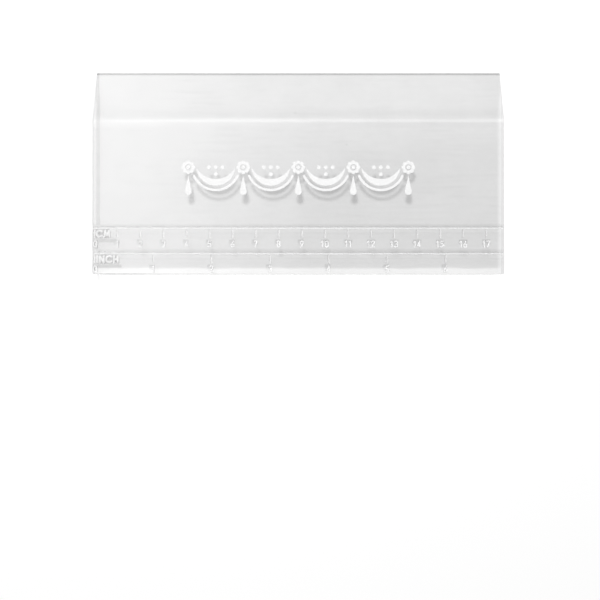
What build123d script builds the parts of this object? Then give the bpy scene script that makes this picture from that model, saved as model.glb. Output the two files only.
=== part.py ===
"""Icing smoother: one clear plate with a bevelled smoothing edge, two raised rulers and a white garland.

Millimetres. The back face lies on Z = 0 with its middle at the origin, +Z leaves the marked front face,
+X runs along the rulers and +Y points at the smoothing edge.
"""

from build123d import *
import math
import os

os.makedirs("parts", exist_ok=True)

# Plate: a flat slab whose front face falls away to a thin smoothing edge along one long side
plate_length = 179.0
plate_width = 89.5
plate_thickness = 5.5
edge_thickness = 0.55
bevel_run = 22.6
crease_radius = 9.0
corner_radius = 0.6
rim_radius = 0.3
nose_radius = 0.2

# Rulers: raised lines, ticks and figures along the side away from the smoothing edge
cm_tick_pitch = 10.0
inch_tick_pitch = 25.4
ruler_inset = 1.0
mark_height = 0.35
line_width = 1.5
tick_width = 1.2
tick_length = 3.9
figure_height = 2.6
figure_stroke = 0.45
figure_foot = 0.2
foot_height = 0.15
figure_gap = 0.65
cm_tick_to_figure = 1.0
inch_tick_to_figure = 0.75
line_to_label = 0.45
cm_line_up = 20.1
inch_line_up = 9.05
cm_label_in = 1.9
inch_label_in = 2.1
edge_margin = 0.05
flank_share = 0.6

# Garland: a flat white print in the middle of the front face
print_thickness = 0.12
garland_up = 46.3
garland_length = 101.5
swag_count = 4
swag_drop = 8.0
swag_depth = 2.9
cord_width = 1.1
cord_below = 1.3
rosette_radius = 3.0
rosette_eye_radius = 0.8
rosette_bore_radius = 1.4
petal_radius = 0.9
petal_count = 8
print_gap = 0.5
drop_length = 8.5
drop_radius = 1.5
bead_radius = 0.85
bead_pitch = 3.0

# Places worked out from the sizes above
ruler_edge = -plate_width / 2
zero_end = -plate_length / 2
crease_y = plate_width / 2 - bevel_run
figure_width = figure_height / 2
flat_half = plate_length / 2 - rim_radius - edge_margin


def flank_angle(width):
    """The slope of a raised bar's sides, from the share of its half width that they take."""
    return math.degrees(math.atan(width / 2 * flank_share / mark_height))


# Figures and letters. Each is as wide as its share of figure_width, and each of its strokes is two points
# of a line or three points of an arc, in shares of its own width and of its height.
width_shares = {"1": 0.45, "C": 1.7, "M": 1.75, "I": 0.0, "N": 1.35, "H": 1.3}
top_bowl_shares = [((0, 0.75), (0.5, 1), (1, 0.75)), ((0, 0.75), (0.5, 0.5), (1, 0.75))]
low_bowl_shares = [((0, 0.25), (0.5, 0.5), (1, 0.25)), ((0, 0.25), (0.5, 0), (1, 0.25))]
stroke_shares = {
    "0": [top_bowl_shares[0], low_bowl_shares[1], ((0, 0.25), (0, 0.75)), ((1, 0.25), (1, 0.75))],
    "1": [((0, 0.8), (1, 1)), ((1, 1), (1, 0))],
    "2": [((0, 0.75), (0.5, 1), (0.933, 0.625)), ((0.933, 0.625), (0, 0)), ((0, 0), (1, 0))],
    "3": [
        ((0.067, 0.875), (0.933, 0.875), (0.5, 0.5)),
        ((0.5, 0.5), (0.933, 0.125), (0.067, 0.125)),
    ],
    "4": [((0.7, 1), (0, 0.28)), ((0, 0.28), (1, 0.28)), ((0.7, 1), (0.7, 0))],
    "5": [((0.1, 1), (0.95, 1)), ((0.1, 1), (0.1, 0.52)), ((0.1, 0.52), (1, 0.32), (0, 0.12))],
    "6": [*low_bowl_shares, ((0.067, 0.375), (0.75, 1))],
    "7": [((0, 1), (1, 1)), ((1, 1), (0.3, 0))],
    "8": [*top_bowl_shares, *low_bowl_shares],
    "9": [*top_bowl_shares, ((0.933, 0.625), (0.25, 0))],
    "C": [((1, 0.854), (0, 0.5), (1, 0.146))],
    "M": [((0, 0), (0.12, 1)), ((0.12, 1), (0.5, 0.2)), ((0.5, 0.2), (0.88, 1)), ((0.88, 1), (1, 0))],
    "I": [((0, 0), (0, 1))],
    "N": [((0, 0), (0, 1)), ((0, 1), (1, 0)), ((1, 0), (1, 1))],
    "H": [((0, 0), (0, 1)), ((1, 0), (1, 1)), ((0, 0.5), (1, 0.5))],
}


def figure_span(character):
    """The width of one figure between the middles of its outer strokes."""
    return figure_width * width_shares.get(character, 1)


def word_span(word):
    """The width of a row of figures over all."""
    strokes = sum(figure_span(character) + figure_stroke for character in word)
    return strokes + figure_gap * (len(word) - 1)


def draw_stroke(points, width):
    """Adds one round-ended stroke to the sketch in hand: a line from two points, an arc from three."""
    if len(points) == 3:
        SlotArc(Edge.make_three_point_arc(*points), width)
        return
    (x0, y0), (x1, y1) = points
    with Locations(((x0 + x1) / 2, (y0 + y1) / 2)):
        SlotCenterToCenter(
            math.hypot(x1 - x0, y1 - y0),
            width,
            rotation=math.degrees(math.atan2(y1 - y0, x1 - x0)),
        )


def raise_word(word, left, low):
    """Raises a row of figures on the front face, each its own solid, from the row's lower left corner.

    Each figure stands on a low foot a little wider than its strokes.
    """
    x = left + figure_stroke / 2
    y = low + figure_stroke / 2
    for character in word:
        span = figure_span(character)
        for width, height in ((figure_stroke + 2 * figure_foot, foot_height), (figure_stroke, mark_height)):
            with BuildSketch(Plane.XY.offset(plate_thickness)) as outline:
                for stroke in stroke_shares[character]:
                    draw_stroke([(x + px * span, y + py * figure_height) for px, py in stroke], width)
            extrude(outline.sketch, amount=height)
        x += span + figure_stroke + figure_gap


def mark_place(distance, width):
    """The place along X of a mark at a distance from zero, kept clear of the rounded rim at the zero end."""
    return max(width / 2 - flat_half, zero_end + ruler_inset + distance)


def marks_on_flat(spacing, width):
    """The marks, counted from zero, that stand whole on the flat of the front face."""
    room = flat_half - width / 2 - zero_end - ruler_inset
    return range(int(room / spacing) + 1)


def raise_rule(place_x, place_y, size_x, size_y):
    """Raises one straight bar with sloping sides on the front face."""
    with BuildSketch(Plane.XY.offset(plate_thickness)) as outline:
        with Locations((place_x, place_y)):
            Rectangle(size_x, size_y)
    extrude(outline.sketch, amount=mark_height, taper=flank_angle(min(size_x, size_y)))


def finish(part, label):
    """Names a piece and writes its file."""
    part.label = label
    export_step(part, f"parts/{label}.step")


# The plate
with BuildPart() as clear_plate:
    with BuildSketch(Plane.YZ.offset(zero_end)):
        with BuildLine():
            Polyline(
                (ruler_edge, 0),
                (plate_width / 2, 0),
                (plate_width / 2, edge_thickness),
                (crease_y, plate_thickness),
                (ruler_edge, plate_thickness),
                close=True,
            )
        make_face()
    extrude(amount=plate_length)
    fillet(clear_plate.edges().filter_by(Axis.X).group_by(Axis.Z)[-1].sort_by(Axis.Y)[-1], crease_radius)
    fillet(clear_plate.edges().filter_by(Axis.Z).group_by(Axis.Y)[0], corner_radius)
    upper_edges = clear_plate.edges().filter_by(lambda edge: edge.center().Z > edge_thickness)
    end_edges = upper_edges.filter_by(Axis.Z, reverse=True).filter_by(Axis.X, reverse=True)
    fillet(end_edges + upper_edges.filter_by(Axis.X).group_by(Axis.Y)[0], rim_radius)
    fillet(clear_plate.edges().filter_by(Axis.X).group_by(Axis.Y)[-1], nose_radius)
finish(clear_plate.part, "clear_plate")

# The two rulers share one layout: a line along the plate, ticks hanging from it, figures under the ticks
for unit, spacing, line_up, tick_to_figure, label, label_in in (
    ("cm", cm_tick_pitch, cm_line_up, cm_tick_to_figure, "CM", cm_label_in),
    ("inch", inch_tick_pitch, inch_line_up, inch_tick_to_figure, "INCH", inch_label_in),
):
    line_y = ruler_edge + line_up
    tick_top = line_y - line_width / 2
    figure_top = tick_top - tick_length - tick_to_figure
    figure_low = figure_top - figure_height - figure_stroke

    with BuildPart() as scale_line:
        raise_rule(0, line_y, 2 * flat_half, line_width)
    finish(scale_line.part, f"{unit}_scale_line")

    with BuildPart() as ticks:
        for tick in marks_on_flat(spacing, tick_width):
            tick_x = mark_place(tick * spacing, tick_width)
            raise_rule(tick_x, tick_top - tick_length / 2, tick_width, tick_length)
    finish(ticks.part, f"{unit}_ticks")

    with BuildPart() as numerals:
        for tick in marks_on_flat(spacing, tick_width):
            number = str(tick)
            span = word_span(number)
            raise_word(number, mark_place(tick * spacing, span + 2 * figure_foot) - span / 2, figure_low)
    finish(numerals.part, f"{unit}_numerals")

    with BuildPart() as unit_label:
        label_low = tick_top - line_to_label - figure_height - figure_stroke
        raise_word(label, zero_end + label_in, label_low)
    finish(unit_label.part, f"{unit}_unit_label")

# The garland: swags hang between rosettes, with a cord under each, drops and beads
swag_pitch = (garland_length - 2 * rosette_radius) / swag_count
post_y = ruler_edge + garland_up
first_post = -swag_count * swag_pitch / 2
posts = [(first_post + post * swag_pitch, post_y) for post in range(swag_count + 1)]
swags = [(first_post + (swag + 1 / 2) * swag_pitch, post_y) for swag in range(swag_count)]
swag_half = swag_pitch / 2 - rosette_radius - print_gap
# A cord lies round the same centre as the swag above it, and stops short of the drops
swag_radius = (swag_half**2 + swag_drop**2) / (2 * swag_drop)
cord_radius = swag_radius + cord_below + cord_width / 2
cord_half = swag_pitch / 2 - drop_radius - print_gap - cord_width / 2
cord_middle_y = swag_radius - swag_drop - cord_radius
cord_end_y = swag_radius - swag_drop - math.sqrt(cord_radius**2 - cord_half**2)


def print_copies(motif, places):
    """Prints copies of a motif on the front face, each its own thin solid."""
    with BuildSketch(Plane.XY.offset(plate_thickness)) as copies:
        with Locations(*places):
            add(motif.sketch)
    extrude(copies.sketch, amount=print_thickness)


with BuildSketch() as crescent:
    with BuildLine():
        ThreePointArc((-swag_half, 0), (0, swag_depth - swag_drop), (swag_half, 0))
        ThreePointArc((-swag_half, 0), (0, -swag_drop), (swag_half, 0))
    make_face()
with BuildPart() as garland_swags:
    print_copies(crescent, swags)
finish(garland_swags.part, "garland_swags")

with BuildSketch() as cord:
    cord_points = ((-cord_half, cord_end_y), (0, cord_middle_y), (cord_half, cord_end_y))
    SlotArc(Edge.make_three_point_arc(*cord_points), cord_width)
with BuildPart() as garland_cords:
    print_copies(cord, swags)
finish(garland_cords.part, "garland_cords")

with BuildSketch() as flower:
    Circle(rosette_radius - petal_radius)
    with PolarLocations(rosette_radius - petal_radius, petal_count):
        Circle(petal_radius)
    Circle(rosette_bore_radius, mode=Mode.SUBTRACT)
    Circle(rosette_eye_radius)
with BuildPart() as garland_rosettes:
    print_copies(flower, posts)
finish(garland_rosettes.part, "garland_rosettes")

drop_tip = -rosette_radius - print_gap
drop_middle = drop_tip - drop_length + drop_radius
# The straight sides leave the round end where they touch it
side_angle = math.asin(drop_radius / (drop_length - drop_radius))
side_x = drop_radius * math.cos(side_angle)
side_y = drop_middle + drop_radius * math.sin(side_angle)
with BuildSketch() as teardrop:
    with BuildLine():
        ThreePointArc((-side_x, side_y), (0, drop_middle - drop_radius), (side_x, side_y))
        Polyline((side_x, side_y), (0, drop_tip), (-side_x, side_y))
    make_face()
with BuildPart() as garland_drops:
    print_copies(teardrop, posts)
finish(garland_drops.part, "garland_drops")

with BuildSketch() as bead:
    Circle(bead_radius)
bead_offsets = ((-bead_pitch, 0), (0, 0), (bead_pitch, 0), (0, -bead_pitch))
with BuildPart() as garland_beads:
    print_copies(bead, [(x + dx, y + dy) for x, y in swags for dx, dy in bead_offsets])
finish(garland_beads.part, "garland_beads")
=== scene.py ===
"""The icing smoother's looks: a clear acrylic plate with raised rulers and a white printed garland.

Metres, in the CAD frame: the plate lies on Z = 0 with its marked face up and its smoothing edge towards +Y.
Inside the part's materials, places are millimetres in that frame. The first two numbers that a ramp takes
are where it starts and where it ends, and the next two, where there are any, are its levels there.
"""

import math
from typing import NamedTuple

import bpy
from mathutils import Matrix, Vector


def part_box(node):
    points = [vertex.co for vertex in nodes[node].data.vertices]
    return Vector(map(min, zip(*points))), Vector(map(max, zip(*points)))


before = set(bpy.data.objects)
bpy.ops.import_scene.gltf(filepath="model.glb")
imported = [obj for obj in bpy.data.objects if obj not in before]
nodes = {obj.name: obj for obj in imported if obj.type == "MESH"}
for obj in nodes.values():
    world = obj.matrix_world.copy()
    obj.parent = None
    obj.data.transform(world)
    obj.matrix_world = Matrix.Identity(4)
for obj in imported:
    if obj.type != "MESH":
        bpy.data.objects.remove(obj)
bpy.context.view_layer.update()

MM = 0.001

plate_low, plate_high = (Vector(corner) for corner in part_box("clear_plate"))
low_mm = plate_low / MM
high_mm = plate_high / MM


class Ruler(NamedTuple):
    """A ruler's pieces, its pitch, how many marks it has, and the reach and depth of the painted shade beside
    them.
    """

    line: str
    ticks: str
    figures: str
    label: str
    pitch: float
    marks: int
    above_line: float
    zero_from: float
    right_of_label: float
    label_depth: float


RULERS = (
    Ruler(
        line="cm_scale_line",
        ticks="cm_ticks",
        figures="cm_numerals",
        label="cm_unit_label",
        pitch=10.0,
        marks=18,
        above_line=1.3,
        zero_from=-0.5,
        right_of_label=2.2,
        label_depth=0.17,
    ),
    Ruler(
        line="inch_scale_line",
        ticks="inch_ticks",
        figures="inch_numerals",
        label="inch_unit_label",
        pitch=25.4,
        marks=7,
        above_line=1.7,
        zero_from=1.5,
        right_of_label=0.6,
        label_depth=0.19,
    ),
)
RULER_INSET = 1.0
zero_mm = low_mm.x + RULER_INSET
rulers_top_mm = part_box("cm_scale_line")[1][1] / MM

# A ramp's levels where it falls
FALLING = (1.0, 0.0)


class Shader:
    """A node tree under construction: each call adds a node and links its inputs."""

    def __init__(self, tree):
        self.tree = tree
        tree.nodes.clear()

    def add(self, kind, inputs=None, **settings):
        """Adds a node. Inputs are values or the outputs of other nodes, by socket name or number."""
        node = self.tree.nodes.new(kind)
        for name, value in settings.items():
            setattr(node, name, value)
        for name, value in (inputs or {}).items():
            if isinstance(value, bpy.types.NodeSocket):
                self.tree.links.new(value, node.inputs[name])
            else:
                node.inputs[name].default_value = value
        return node

    def maths(self, operation, *values, clamp=False):
        """One maths node's result."""
        node = self.add("ShaderNodeMath", dict(enumerate(values)), operation=operation, use_clamp=clamp)
        return node.outputs[0]

    def chain(self, operation, first, others):
        """One operation over two or more values, from the first to the last."""
        for value in others:
            first = self.maths(operation, first, value)
        return first

    def plus(self, first, *others):
        return self.chain("ADD", first, others)

    def minus(self, first, second, clamp=False):
        return self.maths("SUBTRACT", first, second, clamp=clamp)

    def times(self, first, *others):
        return self.chain("MULTIPLY", first, others)

    def most(self, first, *others):
        """The largest of two or more values."""
        return self.chain("MAXIMUM", first, others)

    def size(self, value):
        """A value without its sign."""
        return self.maths("ABSOLUTE", value)

    def ramp(self, value, low, high, to_low=0.0, to_high=1.0):
        """A value carried smoothly from one range to another."""
        inputs = {"Value": value, "From Min": low, "From Max": high, "To Min": to_low, "To Max": to_high}
        return self.add("ShaderNodeMapRange", inputs, interpolation_type="SMOOTHSTEP").outputs[0]

    def eased(self, share, first, second):
        """Smoothly from the first value at share 0 to the second at share 1."""
        return self.ramp(share, 0.0, 1.0, first, second)

    def mix(self, share, first, second):
        """The first value at share 0, the second at share 1."""
        return self.add("ShaderNodeMix", {"Factor": share, "A": first, "B": second}).outputs[0]

    def grey(self, value):
        """A value as a grey colour."""
        return self.add("ShaderNodeCombineColor", {0: value, 1: value, 2: value}).outputs[0]

    def direction(self, x, y, z):
        return self.add("ShaderNodeCombineXYZ", {"X": x, "Y": y, "Z": z}).outputs[0]

    def parts(self, vector):
        """A vector's x, y and z."""
        return self.add("ShaderNodeSeparateXYZ", {0: vector}).outputs

    def noise(self, place, scale, detail=2.0):
        inputs = {"Vector": place, "Scale": scale, "Detail": detail}
        return self.add("ShaderNodeTexNoise", inputs).outputs["Fac"]

    def sway(self, place, scale):
        """Noise that swings to both sides of zero."""
        return self.minus(self.noise(place, scale), 0.5)

    def stretched(self, place, scale):
        """The place with its axes scaled."""
        return self.add("ShaderNodeMapping", {"Vector": place, "Scale": scale}).outputs[0]

    def surface(self, inputs):
        """A surface shader, with its inputs by socket name."""
        return self.add("ShaderNodeBsdfPrincipled", inputs).outputs[0]

    def see_through(self, tone):
        """A surface that rays cross straight, toned."""
        return self.add("ShaderNodeBsdfTransparent", {"Color": tone}).outputs[0]

    def blend(self, share, first, second):
        """The first shader at share 0, the second at share 1."""
        return self.add("ShaderNodeMixShader", {0: share, 1: first, 2: second}).outputs[0]

    def finish(self, shader, kind="ShaderNodeOutputMaterial"):
        self.add(kind, {"Surface": shader})


def new_material(name):
    material = bpy.data.materials.new(name)
    material.use_nodes = True
    return material, Shader(material.node_tree)


def seen_rays(s):
    """Three shares, each 0 or 1: rays straight from the eye, rays through glass, and mirrored rays.

    Light that a matt surface has already scattered is none of these.
    """
    path = s.add("ShaderNodeLightPath").outputs
    unscattered = s.minus(1.0, path["Diffuse Depth"], clamp=True)
    mirrored = s.minus(path["Is Glossy Ray"], path["Is Transmission Ray"], clamp=True)
    shares = (path["Is Camera Ray"], path["Is Transmission Ray"], mirrored)
    return [s.times(share, unscattered) for share in shares]


# The room. A ray leaves towards x at the right, y on the smoothing edge's side and z above, and its slope is
# the angle from z towards y. The room's level rises from a dim one to a window's, towards the upper left
SKY_LIGHT = 0.45
WINDOW_X = -0.75
WINDOW_Y = 0.35
WINDOW_RAMP = (0.0, 0.4, 0.5, 4.65)

# On steeper slopes a wall takes its place, brighter at the left and darker at the far right
WALL_SLOPE = (math.radians(38.0), math.radians(43.0))
WALL_RAMP = (-0.36, 0.0, 4.2, 2.25)
WALL_DARKER = (0.28, 0.4)

# Rays that leave low see less of what the level has above 1 or lacks below it
EXTRA_SHOWN = (0.45, 0.62)
MISSING_SHOWN = (0.05, 0.3)

# Between window and wall a strip of light, with a halo, makes the bright line on the plate's crease
HALO_SLOPE = (math.radians(15.5), math.radians(20.0))
HALO_X = (-0.15, 0.1)
HALO_GLOW = 0.55
STRIP_START = (math.radians(19.2), math.radians(20.6))
STRIP_START_TILT = 0.015
STRIP_END = (math.radians(33.0), math.radians(39.0))
STRIP_END_TILT = 0.15
STRIP_RAMP = (-0.3, 0.0, 0.8, 1.0)
STRIP_GLOW = 2.4


def room_level(s, x, y, slope):
    """How bright the room is in each direction, without the strip of light."""
    window = s.ramp(s.plus(s.times(x, WINDOW_X), s.times(y, WINDOW_Y)), *WINDOW_RAMP)
    halo = s.times(s.ramp(slope, *HALO_SLOPE), s.ramp(x, *HALO_X), HALO_GLOW)
    wall = s.minus(s.ramp(x, *WALL_RAMP), s.ramp(x, *WALL_DARKER))
    return s.mix(s.ramp(slope, *WALL_SLOPE), s.plus(window, halo), wall)


def light_strip(s, x, slope):
    """The strip of light, its two edges a little tilted and its left end a little dimmer."""
    starts = s.ramp(s.minus(slope, s.times(x, STRIP_START_TILT)), *STRIP_START)
    ends = s.ramp(s.minus(slope, s.times(x, STRIP_END_TILT)), *STRIP_END, *FALLING)
    return s.times(starts, ends, s.ramp(x, *STRIP_RAMP), STRIP_GLOW)


def build_world():
    """A soft white room, mirrored and seen through the glass as brighter towards the upper left."""
    world = bpy.data.worlds.new("studio")
    bpy.context.scene.world = world
    world.use_nodes = True
    s = Shader(world.node_tree)
    x, y, z = s.parts(s.add("ShaderNodeTexCoord").outputs["Generated"])
    slope = s.maths("ARCTAN2", y, z)
    level = room_level(s, x, y, slope)
    extra = s.times(s.most(s.minus(level, 1.0), 0.0), s.ramp(z, *EXTRA_SHOWN))
    missing = s.times(s.minus(1.0, level, clamp=True), s.ramp(z, *MISSING_SHOWN))
    dimmed = s.minus(1.0, missing)
    room = s.plus(dimmed, extra, light_strip(s, x, slope))
    camera, through, mirrored = seen_rays(s)
    strength = s.mix(camera, SKY_LIGHT, 1.0)
    strength = s.mix(through, strength, dimmed)
    strength = s.mix(mirrored, strength, room)
    background = s.add("ShaderNodeBackground", {"Color": (1, 1, 1, 1), "Strength": strength})
    s.finish(background.outputs[0], "ShaderNodeOutputWorld")


# The floor's glow grows with the distance from the part, in metres
FLOOR_SIDE = 6.0
FLOOR_GAP = 0.0002
FLOOR_GREY = 0.7
FLOOR_ROUGHNESS = 0.9
FLOOR_GLOW = (0.3, 1.6, 0.392, 0.78)


def floor_material():
    """A matte pale sheet that also glows a little towards the eye, so that it reads as white."""
    material, s = new_material("pale_floor")
    place = s.add("ShaderNodeTexCoord").outputs["Object"]
    away = s.add("ShaderNodeVectorMath", {0: place}, operation="LENGTH").outputs["Value"]
    sheet = s.surface(
        {
            "Base Color": (FLOOR_GREY, FLOOR_GREY, FLOOR_GREY, 1),
            "Roughness": FLOOR_ROUGHNESS,
            "Specular IOR Level": 0.0,
            "Emission Color": (1, 1, 1, 1),
            "Emission Strength": s.times(s.most(*seen_rays(s)), s.ramp(away, *FLOOR_GLOW)),
        }
    )
    s.finish(sheet)
    return material


def build_floor():
    mesh = bpy.data.meshes.new("floor")
    half = FLOOR_SIDE / 2
    corners = [(x, y, -FLOOR_GAP) for x, y in ((-half, -half), (half, -half), (half, half), (-half, half))]
    mesh.from_pydata(corners, [], [(0, 1, 2, 3)])
    floor = bpy.data.objects.new("floor", mesh)
    bpy.context.scene.collection.objects.link(floor)
    mesh.materials.append(floor_material())


# A softbox beyond the smoothing edge, a little to the left
LAMP_DIRECTION = Vector((-0.15, 0.55, 1.0))
LAMP_DISTANCE = 1.1
LAMP_SIDE = 0.27
LAMP_POWER = 7.5


def build_lamp():
    lamp = bpy.data.lights.new("softbox", "AREA")
    lamp.shape = "DISK"
    lamp.size = LAMP_SIDE
    lamp.energy = LAMP_POWER
    lamp_object = bpy.data.objects.new("softbox", lamp)
    lamp_object.location = LAMP_DIRECTION.normalized() * LAMP_DISTANCE
    lamp_object.rotation_euler = LAMP_DIRECTION.to_track_quat("Z", "Y").to_euler()
    lamp_object.visible_transmission = False
    lamp_object.visible_glossy = False
    bpy.context.scene.collection.objects.link(lamp_object)


# The photograph's frame: a picture 600 pixels wide, measured on the front face of the plate
PICTURE_SIDE = 600
PIXELS_A_METRE = 2303
LEFT_EDGE_PIXEL = 92.2
RULER_EDGE_PIXEL = 274.0
CAMERA_HEIGHT = 0.215
SENSOR = 36.0
NEAREST_SEEN = 0.01


def build_camera():
    """Looks straight down, with the plate where the photograph has it."""
    middle = PICTURE_SIDE / 2
    x = plate_low.x + (middle - LEFT_EDGE_PIXEL) / PIXELS_A_METRE
    y = plate_low.y - (middle - RULER_EDGE_PIXEL) / PIXELS_A_METRE
    camera = bpy.data.cameras.new("camera")
    camera.sensor_width = SENSOR
    camera.lens = SENSOR * CAMERA_HEIGHT * PIXELS_A_METRE / PICTURE_SIDE
    camera.clip_start = NEAREST_SEEN
    camera_object = bpy.data.objects.new("camera", camera)
    camera_object.location = (x, y, plate_high.z + CAMERA_HEIGHT)
    bpy.context.scene.collection.objects.link(camera_object)
    bpy.context.scene.camera = camera_object


ACRYLIC_IOR = 1.49
MIRRORED_TWICE = 1.5


def lit_through(s, shader, passed, outlet=0.0):
    """The shader, with light that falls on it or that a matt surface scattered going straight through it.

    At an outlet, so does what has already been mirrored twice inside, so that it doesn't get lost in there.
    """
    straight = s.see_through(s.grey(passed))
    path = s.add("ShaderNodeLightPath").outputs
    guided = s.times(s.maths("GREATER_THAN", path["Glossy Depth"], MIRRORED_TWICE), outlet)
    lighting = s.maths("ADD", s.plus(path["Is Shadow Ray"], guided), path["Diffuse Depth"], clamp=True)
    s.finish(s.blend(lighting, shader, straight))


def glass(s, tone, roughness):
    inputs = {"Base Color": tone, "Roughness": roughness, "IOR": ACRYLIC_IOR, "Transmission Weight": 1.0}
    return s.surface(inputs)


def place_in_mm(s):
    """The object's own coordinates in millimetres, whole and as x, y and z."""
    place = s.add("ShaderNodeTexCoord").outputs["Object"]
    place = s.stretched(place, (1 / MM, 1 / MM, 1 / MM))
    return place, s.parts(place)


def from_nearest_mark(s, x, pitch):
    """How far x lies to the right of the nearest mark on a ruler of the given pitch."""
    return s.maths("WRAP", s.minus(x, zero_mm), pitch / 2, -pitch / 2)


def patch(s, x, y, box, fade):
    """A share that is 1 inside a box of left, right, low and high, and fades to 0 outside it."""
    left, right, low, high = box
    across = s.times(s.ramp(x, left - fade, left), s.ramp(x, right, right + fade, *FALLING))
    return s.times(across, s.ramp(y, low - fade, low), s.ramp(y, high, high + fade, *FALLING))


# The painted shade beside the marks, standing in for the lamp's light that their sloping sides bend away, has
# wavy limits
SWAY_SCALE = 0.9
SWAY_IN_Y = 0.7

# It lies above each scale line, and a fainter band, a painted shadow of the line, lies a little below each
# line
BAND_START = 0.2
BAND_DEPTH = 0.11
SHADOW_START = (4.2, 3.0)
SHADOW_END = (2.9, 2.5)
SHADOW_DEPTH = 0.04

# It lies at the upper left of each figure, and figures from the tenth mark on have two digits
TWO_DIGITS_FROM = 9.5
TWO_DIGITS_BLUR = 0.1
TWO_DIGITS_SHIFT = 0.6
FIGURE_SHIFT = 0.5
FIGURE_HALF_WIDTHS = (0.8, 1.4)
FIGURE_FADE = 0.8
FIGURE_START = 0.3
FIGURE_END = (0.6, 0.1)
LAST_FIGURE = (0.6, 0.5)
FIGURE_DEPTH = 0.16

# It lies all round the zeros
ZERO_LEFT = 1.0
ZERO_RIGHT = 1.4
ZERO_ABOVE = 0.7
ZERO_FADE = 0.7
ZERO_DEPTH = 0.15

# It lies on and a little to the left of the unit labels, and in a patch under each
LABEL_LEFT = 0.7
LABEL_UP = 0.2
LABEL_FADE = 0.6
LABEL_DEPTH = 0.26
UNDER_LEFT = 1.5
UNDER_LOW = 1.5
UNDER_HIGH = 0.7
UNDER_FADE = 0.8


def beside_line(s, ruler, y):
    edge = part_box(ruler.line)[1][1] / MM
    band_starts = s.ramp(y, edge - BAND_START, edge)
    band_ends = s.ramp(y, edge, edge + ruler.above_line, BAND_DEPTH, 0.0)
    shadow_starts = s.ramp(y, *(edge - below for below in SHADOW_START))
    shadow_ends = s.ramp(y, *(edge - below for below in SHADOW_END), SHADOW_DEPTH, 0.0)
    return s.most(s.times(band_starts, band_ends), s.times(shadow_starts, shadow_ends))


def beside_figures(s, ruler, x, y):
    low, high = (corner[1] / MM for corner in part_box(ruler.figures))
    tenth = zero_mm + TWO_DIGITS_FROM * ruler.pitch
    two_digits = s.ramp(x, tenth - TWO_DIGITS_BLUR, tenth + TWO_DIGITS_BLUR)
    aside = s.minus(from_nearest_mark(s, x, ruler.pitch), s.times(two_digits, TWO_DIGITS_SHIFT))
    half = s.mix(two_digits, *FIGURE_HALF_WIDTHS)
    across = s.ramp(s.size(s.plus(aside, FIGURE_SHIFT)), half, s.plus(half, FIGURE_FADE), *FALLING)
    down = s.times(s.ramp(y, *(high + above for above in FIGURE_END)), s.ramp(y, low + FIGURE_START, high))
    there = s.ramp(x, *(zero_mm + ruler.pitch * (ruler.marks - back) for back in LAST_FIGURE), *FALLING)
    return s.times(across, down, there, FIGURE_DEPTH)


def beside_zero(s, ruler, x, y):
    low, high = (corner[1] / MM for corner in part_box(ruler.figures))
    box = (low_mm.x - ZERO_LEFT, zero_mm + ZERO_RIGHT, low + ruler.zero_from, high + ZERO_ABOVE)
    return s.times(patch(s, x, y, box, ZERO_FADE), ZERO_DEPTH)


def beside_label(s, ruler, x, y):
    low, high = (Vector(corner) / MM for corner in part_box(ruler.label))
    around = (low.x - LABEL_LEFT, high.x - LABEL_LEFT, low.y + LABEL_UP, high.y + LABEL_UP)
    under = (low.x - UNDER_LEFT, high.x + ruler.right_of_label, low.y - UNDER_LOW, low.y - UNDER_HIGH)
    letters = s.times(patch(s, x, y, around, LABEL_FADE), LABEL_DEPTH)
    return s.most(letters, s.times(patch(s, x, y, under, UNDER_FADE), ruler.label_depth))


def shade_beside_marks(s, place, x, y):
    """Painted shade on the acrylic beside its raised marks, standing in for the lamp's light that their
    sloping sides bend away.

    The painted shade lies on their upper sides, towards the lamp, and all round the marks at the zero end.
    """
    sway = s.sway(place, SWAY_SCALE)
    x = s.plus(x, sway)
    y = s.plus(y, s.times(sway, SWAY_IN_Y))
    dark = 0.0
    for ruler in RULERS:
        dark = s.most(dark, beside_line(s, ruler, y), beside_figures(s, ruler, x, y))
        dark = s.most(dark, beside_zero(s, ruler, x, y), beside_label(s, ruler, x, y))
    return dark


# Patterns of wear: their scales, how they are stretched, and the ramps that pick them out of noise
SMEAR_SCALE = 0.06
SMEAR_DETAIL = 3.0
SMEAR_RAMP = (0.35, 0.7)
STREAK_STRETCH = (0.06, 1.0, 1.0)
STREAK_SCALE = 0.6
STREAK_RAMP = (0.45, 0.7)
STREAKED_SCALE = 0.05
STREAKED_RAMP = (0.4, 0.6)
SPECK_SCALE = 0.09
SPECK_RAMP = (0.02, 0.042)
SPECK_CHOSEN = (0.8, 0.83)
FINE_STRETCH = (0.6, 1.0, 1.0)
FINE_SCALE = 0.4
FINE_RAMP = (0.3, 0.7)


def plate_wear(s, place):
    """Shares of faint smears, streaks, specks and fine mottling."""
    streaks = s.ramp(s.noise(s.stretched(place, STREAK_STRETCH), STREAK_SCALE), *STREAK_RAMP)
    cells = s.add("ShaderNodeTexVoronoi", {"Vector": place, "Scale": SPECK_SCALE}).outputs
    chosen = s.add("ShaderNodeSeparateColor", {0: cells["Color"]}).outputs[0]
    return {
        "smears": s.ramp(s.noise(place, SMEAR_SCALE, SMEAR_DETAIL), *SMEAR_RAMP),
        "streaks": s.times(streaks, s.ramp(s.noise(place, STREAKED_SCALE), *STREAKED_RAMP)),
        "specks": s.times(s.ramp(cells["Distance"], *SPECK_RAMP, *FALLING), s.ramp(chosen, *SPECK_CHOSEN)),
        "fine": s.ramp(s.noise(s.stretched(place, FINE_STRETCH), FINE_SCALE), *FINE_RAMP),
    }


# Zones of the plate, painted as shade or light. Just above the crease a painted shade makes it darker, and
# more so to the right
CREASE_START = (22.5, 25.3)
CREASE_END = (25.0, 30.0)
CREASE_RAMP = (-60.0, 60.0, 0.55, 1.1)
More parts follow.
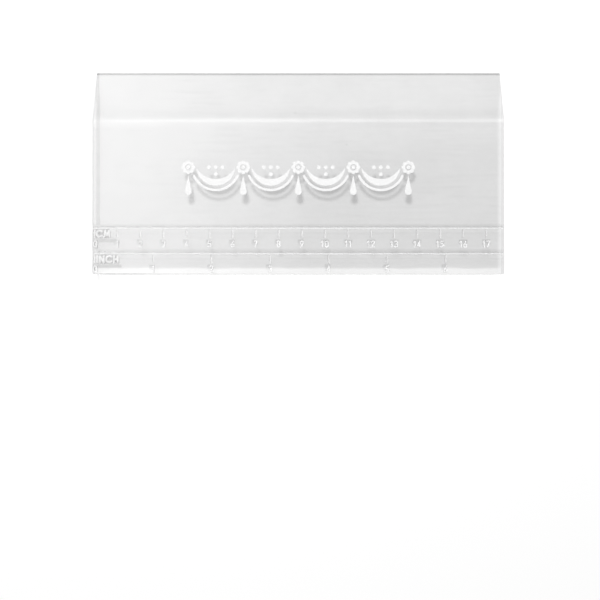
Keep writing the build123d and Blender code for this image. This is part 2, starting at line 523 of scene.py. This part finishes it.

# Along the ruler edge a painted light, for the lamp's light that the edge turns back inside, makes it
# brighter up to a wavy limit, and the rim there has a painted shade near its left end
WAVE_SCALE = 0.07
WAVE_SIZE = 1.6
RULER_EDGE_END = (2.2, 3.4)
RIM_END = (0.25, 0.55)
RIM_START = (1.0, 4.0)
RIM_FADES = (18.0, 30.0)
RIM_LEVELS = (1.0, 0.15)

# The short ends show as strips, narrower where the plate gets thinner along its bevel. The right one gets
# painted light, and the left one ends in a painted dark line, the left wall's shadow, fainter on the rulers
BEVEL_RUN = 22.6
THICKNESS_SHARES = (1.0, 0.1)
RIGHT_STRIP = 2.1
RIGHT_STRIP_RAMP = 1.6
LEFT_STRIP = 2.45
LEFT_LINE = (0.5, 1.4)
LEFT_LINE_RISE = 1.0
LEFT_LINE_LEVELS = (0.3, 1.0)

# The smoothing edge gets a painted dark band, the right half a little painted shade, and the painted shade
# beside the marks is deepened
NOSE_START = (1.3, 0.6)
FAR_SIDE_START = 30.0
MARKS_SHADE_MORE = 1.7


def plate_zones(s, place, x, y, top):
    """Shares of the zones with painted shade or painted light, darker or brighter than the rest of the plate.
    """
    wavy_y = s.plus(y, s.times(s.sway(place, WAVE_SCALE), WAVE_SIZE))
    rim_start = s.ramp(x, *(low_mm.x + along for along in RIM_START))
    rim_fades = s.ramp(x, *(low_mm.x + along for along in RIM_FADES), *RIM_LEVELS)
    rim_end = s.ramp(y, *(low_mm.y + up for up in RIM_END), *FALLING)
    thickness = s.ramp(y, high_mm.y - BEVEL_RUN, high_mm.y, *THICKNESS_SHARES)
    from_right = s.plus(x, s.times(thickness, RIGHT_STRIP))
    from_line = s.minus(s.minus(x, low_mm.x), s.times(thickness, LEFT_STRIP))
    above_rulers = s.ramp(y, rulers_top_mm, rulers_top_mm + LEFT_LINE_RISE, *LEFT_LINE_LEVELS)
    return {
        "crease_shade": s.times(
            s.ramp(y, *CREASE_START), s.ramp(y, *CREASE_END, *FALLING), s.ramp(x, *CREASE_RAMP)
        ),
        "ruler_edge": s.ramp(wavy_y, *(low_mm.y + up for up in RULER_EDGE_END), *FALLING),
        # A painted dark band, the shade along the smoothing edge
        "nose": s.ramp(y, *(high_mm.y - down for down in NOSE_START)),
        "ruler_rim_shade": s.times(rim_end, rim_fades, rim_start),
        "right_end_glow": s.ramp(from_right, high_mm.x, high_mm.x + RIGHT_STRIP_RAMP),
        "left_wall_shadow": s.times(s.ramp(s.size(from_line), *LEFT_LINE, *FALLING), top, above_rulers),
        "far_side_shade": s.ramp(x, FAR_SIDE_START, high_mm.x),
        "marks_shade": s.times(shade_beside_marks(s, place, x, y), top, MARKS_SHADE_MORE),
    }


# How much each share takes from the faces' tone. The ones below zero add to it. Smears, streaks, specks and
# fine mottling are wear; the other shares are painted shade, or painted light where below zero
TONE_LOST = {
    "smears": 0.025,
    "streaks": 0.03,
    "specks": 0.3,
    "crease_shade": 0.055,
    "ruler_edge": -0.02,
    "nose": 0.3,
    "ruler_rim_shade": 0.3,
    "right_end_glow": -0.055,
    "left_wall_shadow": 0.26,
    "far_side_shade": 0.018,
    "fine": 0.015,
    "marks_shade": 1.0,
}

# Faces and walls, told apart by how level the surface lies, and the back told from the rest by its height
POLISHED = (0.25, 0.75)
TOP_START = (0.01, 0.02)
FACE_TONE = 0.915
WALL_TONE = 0.93
FACE_ROUGHNESS = (0.01, 0.03)
WALL_ROUGHNESS = 0.5

# How much light comes through the back: mostly, by the right end and by the ruler edge
BACK_PASSED = 0.665
BACK_PASSED_RIGHT = 0.84
BACK_PASSED_RULERS = 0.95

# The left wall and the smoothing edge hold light back
LEFT_WALL_END = (0.3, 0.5)
LEFT_WALL_HELD = 0.5
NOSE_WALL_START = (0.5, 0.3)
NOSE_WALL_HELD = 0.9

# Walls are partly seen through, and the two ends wholly from inside. The ends' darker tones are painted shade
# for the strips they show, the left end darker towards its top
WALL_CLEARNESS = 0.5
WALL_SEEN_TONE = 0.95
END_WALLS_START = (0.6, 0.3)
END_SEEN_TONE = 0.78
LEFT_END_SEEN_TONE = 0.68
LEFT_END_RISE = (1.5, 4.5)


def plate_material():
    """Clear acrylic: polished faces with faint smears and specks and zones of painted shade and light, and
    duller walls.
    """
    material, s = new_material("clear_acrylic")
    place, (x, y, z) = place_in_mm(s)
    geometry = s.add("ShaderNodeNewGeometry").outputs
    polished = s.ramp(s.size(s.parts(geometry["Normal"])["Z"]), *POLISHED)
    top = s.ramp(z, *TOP_START)
    back = s.minus(1.0, top)
    shares = {**plate_wear(s, place), **plate_zones(s, place, x, y, top)}

    # The faces' tone loses the wear and the painted shade, and gains the painted light
    lost = 0.0
    for name, amount in TONE_LOST.items():
        lost = s.plus(lost, s.times(shares[name], amount))
    tone = s.mix(polished, WALL_TONE, s.minus(FACE_TONE, lost))
    roughness = s.mix(polished, WALL_ROUGHNESS, s.eased(shares["smears"], *FACE_ROUGHNESS))
    clear = glass(s, s.grey(tone), roughness)

    left = s.ramp(x, *(low_mm.x + inside for inside in LEFT_WALL_END), *FALLING)
    ends = s.ramp(s.size(x), *(high_mm.x - inside for inside in END_WALLS_START))
    outwards = s.times(ends, geometry["Backfacing"])
    # Painted shade for the end strips, darker at the left end towards its top
    end_tone = s.mix(s.times(left, s.ramp(z, *LEFT_END_RISE)), END_SEEN_TONE, LEFT_END_SEEN_TONE)
    seen = s.see_through(s.grey(s.mix(outwards, WALL_SEEN_TONE, end_tone)))
    clearness = s.times(s.minus(1.0, polished), s.mix(outwards, WALL_CLEARNESS, 1.0))
    body = s.blend(clearness, clear, seen)

    nose = s.ramp(y, *(high_mm.y - inside for inside in NOSE_WALL_START))
    past_left = s.minus(1.0, s.times(left, LEFT_WALL_HELD))
    through_walls = s.minus(past_left, s.times(nose, NOSE_WALL_HELD), clamp=True)
    through_back = s.mix(shares["right_end_glow"], BACK_PASSED, BACK_PASSED_RIGHT)
    through_back = s.mix(shares["ruler_edge"], through_back, BACK_PASSED_RULERS)
    through_faces = s.mix(back, 1.0, through_back)
    lit_through(s, body, s.mix(polished, through_walls, through_faces), back)
    return material


# The raised marks, with a grain in what is frosted of them
MARK_TONE = 0.99
MARK_ROUGHNESS = (0.03, 0.06)
GRAIN_SCALE = 2.5
GRAIN_RAMP = (0.35, 0.65)
FROSTED_ROUGHNESS = 0.5

# Lines and ticks get painted shade on their sides towards the lamp and a white painted highlight on the part
# away from it. The highlight's tones are those at the left and the right of the plate
RELIEF_HIGHLIGHT_FROM = (0.1, 0.16)
LEFT_SIDE_SHADED = 0.4
SHADED_RAMP = (0.0, 0.5)
SHADED_DEPTH = (-60.0, 40.0, 0.15, 0.22)
RELIEF_CLEARNESS = 0.9
RELIEF_PASSED = (0.98, 0.5)
HIGHLIGHT_REACH = (-60.0, 40.0)
LINE_TONES = (0.96, 0.95)
LINE_HIGHLIGHT_END = (0.25, 0.05)
TICK_TONES = (0.95, 0.88)
TICK_HIGHLIGHT_START = (-0.1, 0.15)


def grained(s, place):
    return s.ramp(s.noise(place, GRAIN_SCALE), *GRAIN_RAMP)


def relief_material(name, highlight_tones, highlight_part):
    """Clear moulded acrylic for the lines and ticks.

    Their sides towards the lamp get painted shade, for its light that they bend away from the eye, and the
    part away from it, which highlight_part gives as a share of x and y, gets a white painted highlight.
    """
    material, s = new_material(name)
    place, (x, y, z) = place_in_mm(s)
    across, along, _ = s.parts(s.add("ShaderNodeNewGeometry").outputs["Normal"])
    leftwards = s.times(s.most(s.times(across, -1.0), 0.0), LEFT_SIDE_SHADED)
    shaded = s.ramp(s.plus(leftwards, s.most(along, 0.0)), *SHADED_RAMP)
    # Painted shade on the sides towards the lamp, a little deeper to the right
    tone = s.grey(s.minus(MARK_TONE, s.times(shaded, s.ramp(x, *SHADED_DEPTH))))
    clear = glass(s, tone, s.eased(grained(s, place), *MARK_ROUGHNESS))
    clear = s.blend(RELIEF_CLEARNESS, clear, s.see_through(tone))
    # The white painted highlight, shaded as if it lay level
    white = s.surface(
        {
            "Base Color": s.grey(s.ramp(x, *HIGHLIGHT_REACH, *highlight_tones)),
            "Roughness": FROSTED_ROUGHNESS,
            "Normal": s.direction(0.0, 0.0, 1.0),
        }
    )
    above = s.ramp(s.minus(z, high_mm.z), *RELIEF_HIGHLIGHT_FROM)
    body = s.blend(s.times(above, highlight_part(s, x, y)), clear, white)
    lit_through(s, body, s.mix(shaded, *RELIEF_PASSED))
    return material


def lower_half(middle):
    """The part of a line below its middle, where the painted highlight lies."""
    return lambda s, x, y: s.ramp(y, *(middle - below for below in LINE_HIGHLIGHT_END), *FALLING)


def right_side(pitch):
    """The right side of each tick on a ruler with the given pitch, where the painted highlight lies."""
    return lambda s, x, y: s.ramp(from_nearest_mark(s, x, pitch), *TICK_HIGHLIGHT_START)


# Figures and letters. Their clear feet take the painted shade beside the marks, and the centimetre figures
# hold more light back than the rest
FIGURE_FROSTED_FROM = (0.17, 0.2)
FOOT_SHADE = 0.8
FROSTED_TONE = 0.97
FROSTED_SHARE = (0.9, 1.0)
FIGURE_PASSED = 0.95
HELD_BACK = 0.15
HELD_BACK_CM = 0.6


def figure_material(name, held_back):
    """Moulded acrylic for figures and letters: frosted strokes, which hold some light back, on clear feet
    with painted shade beside the marks.
    """
    material, s = new_material(name)
    place, (x, y, z) = place_in_mm(s)
    above = s.ramp(s.minus(z, high_mm.z), *FIGURE_FROSTED_FROM)
    grain = grained(s, place)
    # The painted shade beside the marks darkens the clear feet
    tone = s.grey(s.minus(MARK_TONE, s.times(shade_beside_marks(s, place, x, y), FOOT_SHADE)))
    clear = glass(s, tone, s.eased(grain, *MARK_ROUGHNESS))
    white = s.surface(
        {
            "Base Color": (FROSTED_TONE, FROSTED_TONE, FROSTED_TONE, 1),
            "Roughness": FROSTED_ROUGHNESS,
            "Normal": s.direction(*LAMP_DIRECTION.normalized()),
        }
    )
    body = s.blend(s.times(above, s.eased(grain, *FROSTED_SHARE)), clear, white)
    lit_through(s, body, s.minus(FIGURE_PASSED, s.times(above, held_back)))
    return material


INK_GRAIN_SCALE = 1.5
INK_TONE = (0.3, 0.7, 0.93, 0.97)
INK_ROUGHNESS = 0.45
INK_GLOSS = 0.25
INK_BUMP = 0.15
INK_BUMP_HEIGHT = 0.02 * MM


def print_material():
    """White screen ink, a little uneven and satin."""
    material, s = new_material("white_print")
    place, _ = place_in_mm(s)
    grain = s.noise(place, INK_GRAIN_SCALE)
    bump = s.add("ShaderNodeBump", {"Height": grain, "Strength": INK_BUMP, "Distance": INK_BUMP_HEIGHT})
    ink = s.surface(
        {
            "Base Color": s.grey(s.ramp(grain, *INK_TONE)),
            "Roughness": INK_ROUGHNESS,
            "Specular IOR Level": INK_GLOSS,
            "Normal": bump.outputs[0],
        }
    )
    s.finish(ink)
    return material


# The raised marks stand a hair clear of the plate, so that no two faces coincide
MARK_LIFT = 0.015 * MM
LINE_ROUNDING = 0.3 * MM
TICK_ROUNDING = 0.2 * MM
FIGURE_ROUNDING = 0.04 * MM
LABEL_SPREAD = 0.07 * MM
PRINT_ROUNDING = 0.03 * MM
ROUNDING_STEPS = 3
JOINED_WITHIN = 1e-7
FLAT_WITHIN = math.radians(1)
SHARP_FROM = math.radians(30)


def dressed(prefixes, material):
    """Gives the material to the CAD nodes whose names start with one of the prefixes, and returns them."""
    found = [node for name, node in nodes.items() if name.startswith(prefixes)]
    for node in found:
        node.data.materials.clear()
        node.data.materials.append(material)
    return found


def displace(node, name, direction, distance):
    moved = node.modifiers.new(name, "DISPLACE")
    moved.direction = direction
    moved.mid_level = 0.0
    moved.strength = distance


def soften(node, rounding, lift=0.0, spread=0.0):
    """Rounds a mark's edges as moulding or ink would, and spreads and lifts it by a hair where asked."""
    node.modifiers.new("joined", "WELD").merge_threshold = JOINED_WITHIN
    whole = node.modifiers.new("whole_faces", "DECIMATE")
    whole.decimate_type = "DISSOLVE"
    whole.angle_limit = FLAT_WITHIN
    rounded = node.modifiers.new("rounded", "BEVEL")
    rounded.width = rounding
    rounded.segments = ROUNDING_STEPS
    rounded.limit_method = "ANGLE"
    rounded.angle_limit = SHARP_FROM
    rounded.harden_normals = False
    if spread:
        displace(node, "wider", "NORMAL", spread)
    if lift:
        displace(node, "raised", "Z", lift + spread)


build_world()
build_floor()
build_lamp()
build_camera()

dressed(("clear_plate",), plate_material())
for ruler in RULERS:
    line_low, line_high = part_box(ruler.line)
    middle = (line_low[1] + line_high[1]) / 2 / MM
    dressed((ruler.line,), relief_material("clear_" + ruler.line, LINE_TONES, lower_half(middle)))
    soften(nodes[ruler.line], LINE_ROUNDING, MARK_LIFT)
for ruler in RULERS:
    dressed((ruler.ticks,), relief_material("clear_" + ruler.ticks, TICK_TONES, right_side(ruler.pitch)))
    soften(nodes[ruler.ticks], TICK_ROUNDING, MARK_LIFT)
frosted = figure_material("frosted_relief", HELD_BACK)
frosted_cm = figure_material("frosted_figures", HELD_BACK_CM)
for figures in dressed(("cm_numerals",), frosted_cm) + dressed(("inch_numerals",), frosted):
    soften(figures, FIGURE_ROUNDING, MARK_LIFT)
for label in dressed(("cm_unit", "inch_unit"), frosted):
    soften(label, FIGURE_ROUNDING, MARK_LIFT, LABEL_SPREAD)
for shape in dressed(("garland_",), print_material()):
    soften(shape, PRINT_ROUNDING)

bpy.context.scene.view_settings.view_transform = "Standard"
